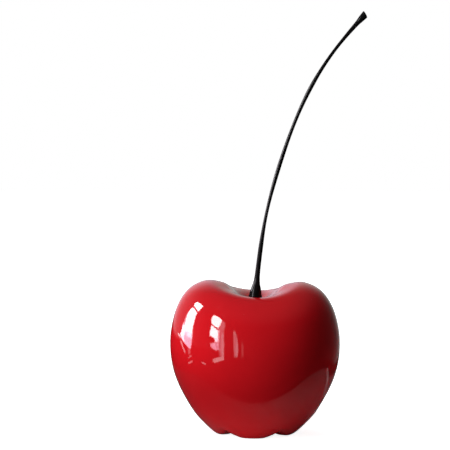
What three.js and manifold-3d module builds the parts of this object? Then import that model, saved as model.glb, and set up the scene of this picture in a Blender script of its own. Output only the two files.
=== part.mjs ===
// A decorative cherry that stands on a table or a shelf: a hollow body of cast and lacquered resin,
// heart shaped and standing on five lobes, and a long black metal stem that sits in its dimple.
// Millimetres, +Z up. The origin is on the surface it stands on, at the middle of the bounding box.

import * as THREE from "three";
import { mergeVertices } from "three/addons/utils/BufferGeometryUtils.js";
import Module from "manifold-3d";

// ---- Driving dimensions -----------------------------------------------------------------------

const SPIGOT_DIAMETER = 5;
const SPIGOT_LENGTH = 15;
const CLEARANCE = 0.3; // round the spigot, and under the stem's foot
const BORE_RADIUS = SPIGOT_DIAMETER / 2 + CLEARANCE;
const BORE_DEPTH = SPIGOT_LENGTH + 0.7; // a blind hole in the thick crown
const VENT_RADIUS = 7; // the hole that the casting is emptied through, in the middle of the underside

// Two half outlines of the body, as [radius, height] from the hole in the dimple to the foot.
// One runs over a shoulder, to the left or right, and one over the lower saddle, front or back.
const SEAT_HEIGHT = 128.5;
const SHOULDER_OUTLINE = [
  [BORE_RADIUS, SEAT_HEIGHT], [9, 129.2], [18, 137.5], [27, 146.2], [35, 149.3], [43.5, 150.7],
  [53, 149.5], [66.4, 142], [77.3, 126.2], [83, 107], [84.8, 88], [82.5, 66.8], [75.6, 46.3],
  [65, 26.8], [55.8, 14.4],
];
const SADDLE_OUTLINE = [
  [BORE_RADIUS, SEAT_HEIGHT], [9, 128.9], [18, 130.6], [27, 134], [36, 136.8], [45, 138], [54, 136.2],
  [64, 128.7], [72.8, 116.8], [77.6, 101.8], [79.4, 85], [77.5, 65], [71.4, 46], [61.7, 27], [53.8, 14.6],
];
// The underside, the same all round: over the middle of a lobe and up to the vent between them.
const UNDERSIDE_OUTLINE = [[43, 2.1], [36.5, -0.6], [29.5, -0.6], [23, 2.6], [15, 9], [VENT_RADIUS, 12]];

// The hollow, as [half width, height] from the vent up to the middle of its level roof. The walls
// are about 7 mm thick, and the crown above the roof is thick enough to hold the stem.
const HOLLOW_OUTLINE = [
  [VENT_RADIUS, 19.5], [16, 18.5], [28, 15.5], [40, 17], [52, 24], [62, 36], [69.5, 50], [75.5, 67],
  [78, 85], [76, 97], [66, 104.5], [48, 106], [24, 106], [0, 106],
];
const HOLLOW_DEPTH_SHARE = 0.935; // front to back against side to side

const SHOULDER_DROP = 1.9; // the right shoulder is this much lower than the left
const DROP_WIDTH = 18; // how far to either side the top takes to tip from level
const DROP_FROM_HEIGHT = 90; // the two sides differ only above this height
const DROP_FROM_RADIUS = 40; // and fully only outside this radius

const LOBES = 5;
const LOBE_TURN = THREE.MathUtils.degToRad(-3.5); // the front lobe's turn from straight ahead
const CREASE_RISE = 6.5; // how far a crease between lobes is above the lobes' lowest line
const CREASE_INSET = 1.2; // and how far it is nearer the axis
const CREASE_SHARPNESS = 1.7; // above 1 the lobes are broad and the creases narrow
const CREASE_SPAN = [0, 1.9]; // outline points past the lower edge between which a crease sinks in
const CREASE_CENTRE_SHARE = 0.25; // what is left of a crease in the middle of the underside

// The stem's line from the seat to its cut end, as [sideways, height], bending to the right.
const STEM_LINE = [
  [0, SEAT_HEIGHT], [0.6, 138], [1.75, 150], [3.6, 167.2], [8.6, 203.1], [16.5, 239.1], [27.2, 274.9],
  [40.2, 310.6], [57, 346.3], [80.4, 382.1], [108.6, 415],
];
// Its taper as [distance along the line, radius]: flared foot, hand drawn rod, flared end.
const STEM_TAPER = [
  [0, 7.4], [5, 6.95], [9.5, 6.1], [13.5, 5.25], [17.5, 4.1], [21, 3.3], [27, 2.72], [38, 2.43],
  [56, 2.3], [72, 1.92], [90, 1.64], [110, 1.8], [134, 2.11], [155, 1.96], [180, 1.74], [205, 1.88],
  [224, 2.09], [242, 1.8], [268, 1.63], [285, 1.79], [299, 2.18], [305, 2.55], [310, 3.2], [315, 3.6],
];
const STEM_END_TILT = THREE.MathUtils.degToRad(17); // the end face's tilt from a square cut
const STEM_END_DOME = 0.5; // how far the end face bulges

// ---- Fineness ---------------------------------------------------------------------------------

const COLUMNS = 60; // 12 to a lobe, so that creases and lobe tops lie on columns
const OUTSIDE_RINGS = 50;
const HOLLOW_RINGS = 22;
const STEM_SIDES = 12;
const STEM_STEPS = 46;

// ---- Shared helpers ---------------------------------------------------------------------------

const wasm = await Module();
wasm.setup();

const { lerp, smoothstep } = THREE.MathUtils;
const asVectors = (pairs) => pairs.map(([x, y]) => new THREE.Vector2(x, y));

/** A closed geometry as a solid: only positions count, and shared corners are merged. */
function toSolid(geometry) {
  const plain = geometry.clone();
  plain.deleteAttribute("normal");
  plain.deleteAttribute("uv");
  const merged = mergeVertices(plain, 1e-4);
  return new wasm.Manifold(
    new wasm.Mesh({
      numProp: 3,
      vertProperties: new Float32Array(merged.attributes.position.array),
      triVerts: new Uint32Array(merged.index.array),
    }),
  );
}

/** A solid back as a geometry. */
function toGeometry(solid) {
  const mesh = solid.getMesh();
  const geometry = new THREE.BufferGeometry();
  geometry.setAttribute("position", new THREE.BufferAttribute(mesh.vertProperties, 3));
  geometry.setIndex(new THREE.BufferAttribute(mesh.triVerts, 1));
  geometry.computeVertexNormals();
  return geometry;
}

// ---- The body ---------------------------------------------------------------------------------

const SIDE_POINTS = SHOULDER_OUTLINE.length;
const LAST_POINT = SIDE_POINTS + UNDERSIDE_OUTLINE.length - 1;
const FRONT = -Math.PI / 2;
const shoulderCurve = new THREE.SplineCurve(asVectors([...SHOULDER_OUTLINE, ...UNDERSIDE_OUTLINE]));
const saddleCurve = new THREE.SplineCurve(asVectors([...SADDLE_OUTLINE, ...UNDERSIDE_OUTLINE]));
const hollowCurve = new THREE.SplineCurve(asVectors(HOLLOW_OUTLINE));

/** How deep in a crease an angle lies: 0 on a lobe's middle and 1 in the crease. */
const creaseAt = (angle) =>
  (1 - Math.abs(Math.cos((LOBES / 2) * (angle - FRONT - LOBE_TURN)))) ** CREASE_SHARPNESS;

/** How strong the creases are at a share of the way along the outline. */
function creaseStrength(share) {
  const at = share * LAST_POINT;
  const edge = SIDE_POINTS - 1; // where the outline turns under
  const begins = smoothstep(at, edge + CREASE_SPAN[0], edge + CREASE_SPAN[1]);
  const ends = smoothstep(at, edge + 3.5, LAST_POINT);
  return begins * (1 - (1 - CREASE_CENTRE_SHARE) * ends);
}

/** The lacquered outside at an angle round the axis and a share of the way from dimple to vent. */
function outside(angle, share) {
  const side = Math.cos(angle) ** 2; // 1 over a shoulder and 0 over the saddle
  const onShoulder = shoulderCurve.getPoint(share);
  const onSaddle = saddleCurve.getPoint(share);
  let radius = lerp(onSaddle.x, onShoulder.x, side);
  let height = lerp(onSaddle.y, onShoulder.y, side);
  const drop =
    smoothstep(height, DROP_FROM_HEIGHT, SHOULDER_OUTLINE[5][1]) *
    smoothstep(radius, BORE_RADIUS, DROP_FROM_RADIUS);
  height -= (SHOULDER_DROP / 2) * Math.tanh((radius * Math.cos(angle)) / DROP_WIDTH) * drop;
  const crease = creaseAt(angle) * creaseStrength(share);
  height += CREASE_RISE * crease;
  radius -= CREASE_INSET * crease * smoothstep(radius, VENT_RADIUS, UNDERSIDE_OUTLINE[2][0]);
  // The lobes are ground level where they would reach below the surface they stand on.
  return new THREE.Vector3(radius * Math.cos(angle), radius * Math.sin(angle), Math.max(height, 0));
}

/** The hollow at an angle round the axis and a share of the way from the vent to its roof. */
function hollow(angle, share) {
  const { x, y } = hollowCurve.getPoint(share);
  // The vent stays round, and the hollow above it is shallower from front to back.
  const depth = lerp(1, HOLLOW_DEPTH_SHARE, smoothstep(share, 0, 1 / (HOLLOW_OUTLINE.length - 1)));
  return new THREE.Vector3(x * Math.cos(angle), x * depth * Math.sin(angle), y);
}

/** A point of the whole skin, ring by ring: up out of the bore, down the outside, in at the vent. */
function skin(angle, ring) {
  if (ring < 2) {
    const radius = ring * BORE_RADIUS;
    const floor = SEAT_HEIGHT - BORE_DEPTH;
    return new THREE.Vector3(radius * Math.cos(angle), radius * Math.sin(angle), floor);
  }
  if (ring < OUTSIDE_RINGS + 2) return outside(angle, (ring - 2) / (OUTSIDE_RINGS - 1));
  return hollow(angle, (ring - OUTSIDE_RINGS - 2) / HOLLOW_RINGS);
}

/** The hollow body as one closed skin, which is a ball with its two poles pushed in. */
function makeBody() {
  const rings = 2 + OUTSIDE_RINGS + HOLLOW_RINGS;
  const geometry = new THREE.SphereGeometry(1, COLUMNS, rings);
  const { position, uv } = geometry.attributes;
  for (let i = 0; i < position.count; i++) {
    const ring = Math.round((1 - uv.getY(i)) * rings);
    const pole = ring === 0 || ring === rings;
    const column = pole ? 0 : Math.round(uv.getX(i) * COLUMNS) % COLUMNS;
    const point = skin(FRONT + LOBE_TURN + (2 * Math.PI * column) / COLUMNS, ring);
    position.setXYZ(i, pole ? 0 : point.x, pole ? 0 : point.y, point.z);
  }
  const lacquer = new THREE.MeshStandardMaterial({ color: 0xb00c12, roughness: 0.08, metalness: 0 });
  const body = new THREE.Mesh(toGeometry(toSolid(geometry)), lacquer);
  body.name = "body";
  return body;
}

// ---- The stem ---------------------------------------------------------------------------------

/** The stem's line as a curve in the body's own plane of the two shoulders. */
const stemCurve = new THREE.CatmullRomCurve3(
  STEM_LINE.map(([x, z]) => new THREE.Vector3(x, 0, z)),
  false,
  "centripetal",
);

/** The straight turned stem, as [radius, distance along it] from the spigot's end to the tip. */
function stemOutline() {
  const taper = new THREE.SplineCurve(asVectors(STEM_TAPER)).getPoints(STEM_STEPS);
  const reach = stemCurve.getLength();
  const scale = reach / STEM_TAPER.at(-1)[0];
  const rod = taper.map((p) => new THREE.Vector2(p.y, CLEARANCE + 0.3 + p.x * scale));
  const spigot = SPIGOT_DIAMETER / 2;
  return [
    new THREE.Vector2(0, -SPIGOT_LENGTH),
    new THREE.Vector2(spigot - 0.5, -SPIGOT_LENGTH),
    new THREE.Vector2(spigot, -SPIGOT_LENGTH + 0.5),
    new THREE.Vector2(spigot, CLEARANCE + 0.3),
    ...rod,
    new THREE.Vector2(0, rod.at(-1).y + STEM_END_DOME),
  ];
}

/** Bends a straight stem, turned about +Y, along the stem's line. */
function bend(geometry) {
  const position = geometry.attributes.position;
  const reach = stemCurve.getLength();
  const depth = new THREE.Vector3(0, 1, 0);
  for (let i = 0; i < position.count; i++) {
    const along = position.getY(i);
    const share = THREE.MathUtils.clamp(along / reach, 0, 1);
    const heading = along <= 0 ? new THREE.Vector3(0, 0, 1) : stemCurve.getTangentAt(share);
    const across = new THREE.Vector3().crossVectors(depth, heading);
    const point = stemCurve
      .getPointAt(share)
      .addScaledVector(heading, along - share * reach)
      .addScaledVector(across, position.getX(i))
      .addScaledVector(depth, -position.getZ(i));
    position.setXYZ(i, point.x, point.y, point.z);
  }
  return geometry;
}

/** The black stem: spigot, flared foot, tapered rod and flared end with its slanting cut. */
function makeStem() {
  const turned = new THREE.LatheGeometry(stemOutline(), STEM_SIDES);
  const rod = toSolid(bend(turned));
  const end = stemCurve.getPointAt(1);
  const heading = stemCurve.getTangentAt(1);
  const lean = Math.atan2(heading.x, heading.z) + STEM_END_TILT;
  const size = 20;
  const saw = new THREE.BoxGeometry(size, size, size)
    .translate(0, 0, size / 2 - 0.4)
    .rotateY(lean)
    .translate(end.x, end.y, end.z);
  const black = new THREE.MeshStandardMaterial({ color: 0x060607, roughness: 0.2, metalness: 0 });
  const stem = new THREE.Mesh(toGeometry(rod.subtract(toSolid(saw))), black);
  stem.name = "stem";
  return stem;
}

// ---- The whole figure, with the origin under the middle of its bounding box ---------------------

const cherry = new THREE.Group();
cherry.add(makeBody(), makeStem());
const bounds = new THREE.Box3().setFromObject(cherry, true);
cherry.position.set(-(bounds.min.x + bounds.max.x) / 2, -(bounds.min.y + bounds.max.y) / 2, 0);

export default cherry;
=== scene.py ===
"""The looks of a decorative cherry: a red lacquered body that stands on five lobes, and a long black stem.

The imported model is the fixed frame. The body and the stem are modelled here at a finer smoothness than the
frame's solids, in the same place and to the same sizes. Everything is in metres with +Z up; the stem bends
towards +X and the front is -Y. Sizes that a maker would read are given in millimetres.
"""

import functools
import logging
import math
from dataclasses import dataclass, field
from enum import Enum

import bmesh
import bpy
import numpy as np
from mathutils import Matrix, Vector

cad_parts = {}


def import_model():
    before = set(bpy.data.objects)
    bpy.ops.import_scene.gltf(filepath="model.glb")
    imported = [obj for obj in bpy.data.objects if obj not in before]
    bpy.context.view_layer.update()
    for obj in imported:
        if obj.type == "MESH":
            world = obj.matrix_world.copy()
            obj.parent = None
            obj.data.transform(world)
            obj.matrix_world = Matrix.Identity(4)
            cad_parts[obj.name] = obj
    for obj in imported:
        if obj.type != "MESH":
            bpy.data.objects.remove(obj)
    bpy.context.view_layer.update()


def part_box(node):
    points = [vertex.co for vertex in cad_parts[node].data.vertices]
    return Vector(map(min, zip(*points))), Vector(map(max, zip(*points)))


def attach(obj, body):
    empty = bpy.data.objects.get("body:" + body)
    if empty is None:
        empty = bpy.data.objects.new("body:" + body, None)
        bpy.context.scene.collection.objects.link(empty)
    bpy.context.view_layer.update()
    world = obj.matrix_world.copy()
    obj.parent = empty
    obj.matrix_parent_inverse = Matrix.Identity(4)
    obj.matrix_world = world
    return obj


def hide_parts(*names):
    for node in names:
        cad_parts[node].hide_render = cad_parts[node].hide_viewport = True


LOG = logging.getLogger("cherry")
MM = 0.001
Station = tuple[float, float]
Colour = tuple[float, float, float]
Place = tuple[float, float, float]
Socket = bpy.types.NodeSocket
Feed = Socket | float | Colour


# ---- Shared shapes and helpers -------------------------------------------------------------------


def ease(value: np.ndarray, low: float, high: float) -> np.ndarray:
    """A step from 0 to 1 whose curvature is continuous too, so that a gloss runs over it unbroken.

    Args:
        value: where on the way each point is.
        low: where the step begins.
        high: where the step ends.

    Returns:
        The share of the step that each point has passed.
    """
    t = np.clip((value - low) / (high - low), 0, 1)
    return t * t * t * (t * (6 * t - 15) + 10)


class SmoothLine:
    """A line of continuous curvature through stations, a cubic B-spline."""

    ROUNDS = 60

    def __init__(self, stations: tuple[Station, ...]) -> None:
        """Solves for the spline's control points.

        Args:
            stations: the points that the line passes through.
        """
        points = np.array(stations, float)
        control = points.copy()
        for _ in range(self.ROUNDS):
            pull = (control[:-2] + 4 * control[1:-1] + control[2:]) / 6
            control[1:-1] += points[1:-1] - pull
        ends = 2 * control[[0, -1]] - control[[1, -2]]
        self.control = np.vstack([ends[:1], control, ends[1:]])
        self.spans = len(points) - 1

    def at(self, share: np.ndarray) -> np.ndarray:
        """The points at shares of the way, where every span between two stations counts the same.

        Args:
            share: shares from 0 to 1.

        Returns:
            One point a share.
        """
        place = np.clip(np.asarray(share, float) * self.spans, 0, self.spans - 1e-9)
        i = place.astype(int)
        t = (place - i)[:, None]
        c = self.control
        return (
            (1 - t) ** 3 * c[i]
            + (3 * t**3 - 6 * t**2 + 4) * c[i + 1]
            + (-3 * t**3 + 3 * t**2 + 3 * t + 1) * c[i + 2]
            + t**3 * c[i + 3]
        ) / 6


class Workbench:
    """Edit-mode steps that the body and the stem share."""

    @staticmethod
    def clear() -> None:
        """Deselects every object."""
        bpy.ops.object.select_all(action="DESELECT")

    @staticmethod
    def start_ring(name: str, sides: int, radius: float, height: float, axis_x: float) -> bpy.types.Object:
        """Adds a level disc of triangles round an upright axis and opens it in edit mode.

        Args:
            name: the piece's name.
            sides: how many points the rim has.
            radius: the rim's radius.
            height: the disc's height.
            axis_x: how far the axis is to the right of the origin.

        Returns:
            The new object, whose own origin is at the scene's.
        """
        Workbench.clear()
        bpy.ops.mesh.primitive_circle_add(
            vertices=sides, radius=radius, fill_type="TRIFAN", location=(axis_x, 0, height)
        )
        piece = bpy.context.object
        piece.name = piece.data.name = name
        bpy.ops.object.transform_apply(location=True, rotation=True, scale=True)
        bpy.ops.object.mode_set(mode="EDIT")
        bpy.ops.mesh.select_all(action="DESELECT")
        mesh = bmesh.from_edit_mesh(piece.data)
        mesh.edges.ensure_lookup_table()
        for edge in mesh.edges:
            edge.select_set(edge.is_boundary)
        bmesh.update_edit_mesh(piece.data)
        return piece

    @staticmethod
    def next_ring(rise: float, grow_x: float, grow_y: float, centre: Vector) -> None:
        """Draws the selected rim out to the next ring.

        Args:
            rise: how much higher the new ring is.
            grow_x: the new ring's width over the old one's.
            grow_y: the new ring's depth over the old one's.
            centre: the new ring's centre.
        """
        bpy.ops.mesh.extrude_edges_move(TRANSFORM_OT_translate={"value": (0, 0, rise)})
        bpy.ops.transform.resize(value=(grow_x, grow_y, 1), center_override=centre)

    @staticmethod
    def close_rim() -> None:
        """Closes the selected rim with a fan of triangles that meet in its middle."""
        bpy.ops.mesh.extrude_edges_move(TRANSFORM_OT_translate={"value": (0, 0, 0)})
        bpy.ops.mesh.merge(type="CENTER")

    @staticmethod
    def face_outwards() -> None:
        """Turns every face of the open piece to the outside and leaves edit mode."""
        bpy.ops.mesh.select_all(action="SELECT")
        bpy.ops.mesh.normals_make_consistent(inside=False)
        bpy.ops.object.mode_set(mode="OBJECT")

    @staticmethod
    def subdivide(piece: bpy.types.Object, levels: int) -> None:
        """Smooths a piece by subdivision and applies it.

        Args:
            piece: the piece, which is in object mode.
            levels: how often each face is split.
        """
        Workbench.clear()
        piece.select_set(True)
        bpy.context.view_layer.objects.active = piece
        smooth = piece.modifiers.new("smooth", "SUBSURF")
        smooth.levels = smooth.render_levels = levels
        smooth.use_limit_surface = True
        bpy.ops.object.modifier_apply(modifier=smooth.name)
        bpy.ops.object.shade_smooth()

    @staticmethod
    def read(piece: bpy.types.Object) -> np.ndarray:
        """Reads a piece's points.

        Args:
            piece: the piece, in object mode.

        Returns:
            One row a point.
        """
        points = np.empty(len(piece.data.vertices) * 3)
        piece.data.vertices.foreach_get("co", points)
        return points.reshape(-1, 3)

    @staticmethod
    def write(piece: bpy.types.Object, points: np.ndarray) -> None:
        """Puts the piece's points where they are given."""
        piece.data.vertices.foreach_set("co", points.ravel())
        piece.data.update()


# ---- Finishes ------------------------------------------------------------------------------------


class NodeSheet:
    """A node tree with short ways to place nodes and join them."""

    def __init__(self, tree: bpy.types.NodeTree) -> None:
        """Opens a tree.

        Args:
            tree: a material's, light's or world's node tree, or a node group.
        """
        self.tree = tree

    def add(self, kind: str, **settings: object) -> bpy.types.Node:
        """Places a node.

        Args:
            kind: the node's type, as Blender names it.
            **settings: the node's own properties.

        Returns:
            The node.
        """
        node = self.tree.nodes.new(kind)
        for name, value in settings.items():
            setattr(node, name, value)
        return node

    def feed(self, socket: Socket, value: Feed) -> None:
        """Joins a socket to another one, or sets its value.

        Args:
            socket: the input.
            value: an output to join to it, or a number or a colour.
        """
        if isinstance(value, Socket):
            self.tree.links.new(value, socket)
        elif isinstance(value, tuple):
            socket.default_value = (*value, 1)
        else:
            socket.default_value = value

    def axes(self, vector: Socket) -> tuple[Socket, Socket, Socket]:
        """Takes a vector apart.

        Args:
            vector: the vector.

        Returns:
            Its X, Y and Z.
        """
        node = self.add("ShaderNodeSeparateXYZ")
        self.feed(node.inputs[0], vector)
        return tuple(node.outputs)

    def group(self, tree: bpy.types.NodeTree, **values: Feed) -> Socket:
        """Places a node group.

        Args:
            tree: the group, which has one output.
            **values: its inputs, by name.

        Returns:
            The group's output.
        """
        node = self.add("ShaderNodeGroup", node_tree=tree)
        for title, value in values.items():
            self.feed(node.inputs[title], value)
        return node.outputs[0]

    def math(self, operation: str, *values: Feed, clamp: bool = False) -> Socket:
        """Places a Math node.

        Args:
            operation: the node's operation, as Blender names it.
            *values: numbers or sockets, in order.
            clamp: whether the result is kept from 0 to 1.

        Returns:
            The result.
        """
        node = self.add("ShaderNodeMath", operation=operation, use_clamp=clamp)
        for socket, value in zip(node.inputs, values):
            self.feed(socket, value)
        return node.outputs[0]

    def product(self, *values: Feed) -> Socket:
        """Multiplies values, one after the other."""
        return functools.reduce(lambda first, second: self.math("MULTIPLY", first, second), values)

    def step(self, value: Feed, low: float, high: float) -> Socket:
        """A soft step of a value.

        Args:
            value: a number or a socket.
            low: where the step begins; it may be the larger one, and the step then falls.
            high: where the step ends.

        Returns:
            0 before low and 1 after high.
        """
        node = self.add("ShaderNodeMapRange", interpolation_type="SMOOTHSTEP")
        falls = low > high
        for name, number in (
            ("Value", value),
            ("From Min", min(low, high)),
            ("From Max", max(low, high)),
            ("To Min", 1.0 if falls else 0.0),
            ("To Max", 0.0 if falls else 1.0),
        ):
            self.feed(node.inputs[name], number)
        return node.outputs["Result"]

    def spread(self, value: Feed, to_low: Feed, to_high: Feed) -> Socket:
        """Spreads a value from 0 to 1 over another range.

        Args:
            value: a number or a socket.
            to_low: the result at 0.
            to_high: the result at 1.

        Returns:
            The result.
        """
        node = self.add("ShaderNodeMapRange")
        self.feed(node.inputs["Value"], value)
        self.feed(node.inputs["To Min"], to_low)
        self.feed(node.inputs["To Max"], to_high)
        return node.outputs["Result"]

    def noise(self, vector: Socket, per_metre: Feed, detail: float = 2.0, warp: float = 0.0) -> Socket:
        """A cloudy pattern from 0 to 1.

        Args:
            vector: the coordinates.
            per_metre: how many clouds there are to a metre.
            detail: how many finer patterns lie in it.
            warp: how much it is distorted.

        Returns:
            The pattern.
        """
        node = self.add("ShaderNodeTexNoise")
        self.feed(node.inputs["Vector"], vector)
        self.feed(node.inputs["Scale"], per_metre)
        node.inputs["Detail"].default_value = detail
        node.inputs["Distortion"].default_value = warp
        return node.outputs["Fac"]

    def blend(self, share: Feed, first: Feed, second: Feed) -> Socket:
        """Mixes two colours.

        Args:
            share: how much of the second one there is.
            first: a colour or a socket.
            second: a colour or a socket.

        Returns:
            The mixed colour.
        """
        node = self.add("ShaderNodeMix", data_type="RGBA", clamp_factor=True)
        self.feed(node.inputs[0], share)
        self.feed(node.inputs[6], first)
        self.feed(node.inputs[7], second)
        return node.outputs[2]


class GroupBuilder:
    """The effects that both lacquers share, each a shader node group with one output that is made once."""

    peel_share = 0.05  # how high the orange peel is to the long waves
    smear_edge = (0.52, 0.78)  # the patches of handling that are smears, from faint to full
    unevenness = (0.5, -0.12)  # how much the coat's thickness follows the clouds, and where that begins
    dust_grain = 260.0  # how many places for a speck there are to a metre
    dust_edge = (0.09, 0.04)  # a speck's soft outline, in shares of its place
    dust_chance = (0.9, 0.93)  # the places that have a speck
    dust_slope = (0.3, 0.9)  # the slopes on which dust lies, as the upward part of their normal
    dust_amount = 0.5

    def __init__(self) -> None:
        """Builds every group."""
        self.ripple = self._ripple()
        self.haze = self._haze()
        # The lacquer's tone: deeper in random clouds of thicker coat, and darkened by painted shade.
        self.depth = self._tone_and_shade()
        self.dust = self._dust()

    @staticmethod
    def _open(
        name: str, inputs: dict[str, tuple[str, object]], output: tuple[str, str]
    ) -> tuple[bpy.types.NodeTree, NodeSheet, bpy.types.NodeOutputs, Socket]:
        """Makes an empty group with its sockets.

        Args:
            name: the group's name.
            inputs: the kind and the starting value of each input.
            output: the name and the kind of the output.

        Returns:
            The group, its sheet, what it is given and the socket of its result.
        """
        group = bpy.data.node_groups.new(name, "ShaderNodeTree")
        for title, (kind, value) in inputs.items():
            socket = group.interface.new_socket(title, in_out="INPUT", socket_type=f"NodeSocket{kind}")
            if value is not None:
                socket.default_value = value
        group.interface.new_socket(output[0], in_out="OUTPUT", socket_type=f"NodeSocket{output[1]}")
        sheet = NodeSheet(group)
        return group, sheet, sheet.add("NodeGroupInput").outputs, sheet.add("NodeGroupOutput").inputs[0]

    def _ripple(self) -> bpy.types.NodeTree:
        """Long waves left by rubbing down, and the fine orange peel of a sprayed lacquer.

        Returns:
            The group.
        """
        inputs = {"Vector": ("Vector", None), "Waves": ("Float", 30.0), "Peel": ("Float", 400.0)}
        group, sheet, given, result = self._open("lacquer_ripple", inputs, ("Height", "Float"))
        waves = sheet.noise(given["Vector"], given["Waves"], detail=1.0, warp=0.3)
        peel = sheet.noise(given["Vector"], given["Peel"], detail=1.0)
        sheet.feed(result, sheet.math("MULTIPLY_ADD", peel, self.peel_share, waves))
        return group

    def _haze(self) -> bpy.types.NodeTree:
        """Faint smears of handling, where the gloss is a little less sharp.

        Returns:
            The group.
        """
        inputs = {
            "Vector": ("Vector", None), "Gloss": ("Float", 0.04), "Smear": ("Float", 0.05),
            "Patches": ("Float", 25.0),
        }  # fmt: skip
        group, sheet, given, result = self._open("handling_haze", inputs, ("Roughness", "Float"))
        patches = sheet.noise(given["Vector"], given["Patches"], detail=3.0, warp=0.6)
        smears = sheet.step(patches, *self.smear_edge)
        sheet.feed(result, sheet.math("MULTIPLY_ADD", smears, given["Smear"], given["Gloss"]))
        return group

    def _tone_and_shade(self) -> bpy.types.NodeTree:
        """The colour of a clear lacquer over its ground: a touch deeper wherever the coat lies thicker, in
        random clouds, and darker, up to the thicker coat's colour, wherever painted shade is given.

        Returns:
            The group.
        """
        inputs = {
            "Vector": ("Vector", None), "Thin": ("Color", (1, 1, 1, 1)), "Thick_and_shade": ("Color", (0, 0, 0, 1)),
            "Pooling": ("Float", 0.0), "Clouds": ("Float", 18.0),
        }  # fmt: skip
        group, sheet, given, result = self._open("lacquer_tone_and_shade", inputs, ("Color", "Color"))
        clouds = sheet.noise(given["Vector"], given["Clouds"], detail=2.0)
        uneven = sheet.math("MULTIPLY_ADD", clouds, *self.unevenness, clamp=True)
        # The larger of the clouds of thicker coat and the painted shade.
        thick_and_shade = sheet.math("MAXIMUM", uneven, given["Pooling"])
        sheet.feed(result, sheet.blend(thick_and_shade, given["Thin"], given["Thick_and_shade"]))
        return group

    def _dust(self) -> bpy.types.NodeTree:
        """Stray specks of dust, on what faces up.

        Returns:
            The group.
        """
        inputs = {"Vector": ("Vector", None)}
        group, sheet, given, result = self._open("dust_specks", inputs, ("Mask", "Float"))
        cells = sheet.add("ShaderNodeTexVoronoi", feature="F1")
        sheet.feed(cells.inputs["Vector"], given["Vector"])
        cells.inputs["Scale"].default_value = self.dust_grain
        speck = sheet.step(cells.outputs["Distance"], *self.dust_edge)
        chosen = sheet.step(sheet.axes(cells.outputs["Color"])[0], *self.dust_chance)
        normal = sheet.add("ShaderNodeNewGeometry").outputs["Normal"]
        upward = sheet.step(sheet.axes(normal)[2], *self.dust_slope)
        sheet.feed(result, sheet.product(speck, chosen, upward, self.dust_amount))
        return group


@dataclass(frozen=True)
class Lacquer:
    """A sprayed and rubbed gloss lacquer. Its patterns are told by how many there are to a metre."""

    title: str
    thin: Colour
    # The colour of a thicker coat, which is also the colour of painted shade.
    thick_and_shade: Colour
    dust: Colour
    gloss: float
    smear: float
    ior: float
    wave_height: float
    clouds: float
    patches: float
    waves: float
    peel: float

    def start(self) -> tuple[bpy.types.Material, NodeSheet, bpy.types.Node, Socket]:
        """Opens a material.

        Returns:
            The material, its sheet, its shader and the piece's own coordinates.
        """
        material = bpy.data.materials.new(self.title)
        material.use_nodes = True
        sheet = NodeSheet(material.node_tree)
        place = sheet.add("ShaderNodeTexCoord").outputs["Object"]
        return material, sheet, material.node_tree.nodes["Principled BSDF"], place

    def coat(
        self, groups: GroupBuilder, sheet: NodeSheet, shader: bpy.types.Node, place: Socket, painted_shade: Feed
    ) -> tuple[Socket, Socket, Socket]:
        """Places the shared effects, and joins the one that ripples the surface.

        Args:
            groups: the shared effects.
            sheet: the material's sheet.
            shader: the material's shader.
            place: the coordinates.
            painted_shade: where painted shade darkens the coat.

        Returns:
            The coat's colour with its dust, its roughness, and where dust lies.
        """
        colours = {"Thin": self.thin, "Thick_and_shade": self.thick_and_shade}
        # The tone, with the painted shade laid in as the thicker coat's colour.
        tone = sheet.group(groups.depth, Vector=place, Pooling=painted_shade, Clouds=self.clouds, **colours)
        shine = {"Gloss": self.gloss, "Smear": self.smear}
        rough = sheet.group(groups.haze, Vector=place, Patches=self.patches, **shine)
        dust = sheet.group(groups.dust, Vector=place)
        bump = sheet.add("ShaderNodeBump")
        bump.inputs["Distance"].default_value = self.wave_height
        ripple = sheet.group(groups.ripple, Vector=place, Waves=self.waves, Peel=self.peel)
        sheet.feed(bump.inputs["Height"], ripple)
        sheet.feed(shader.inputs["Normal"], bump.outputs["Normal"])
        shader.inputs["IOR"].default_value = self.ior
        return sheet.blend(dust, tone, self.dust), rough, dust


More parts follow.
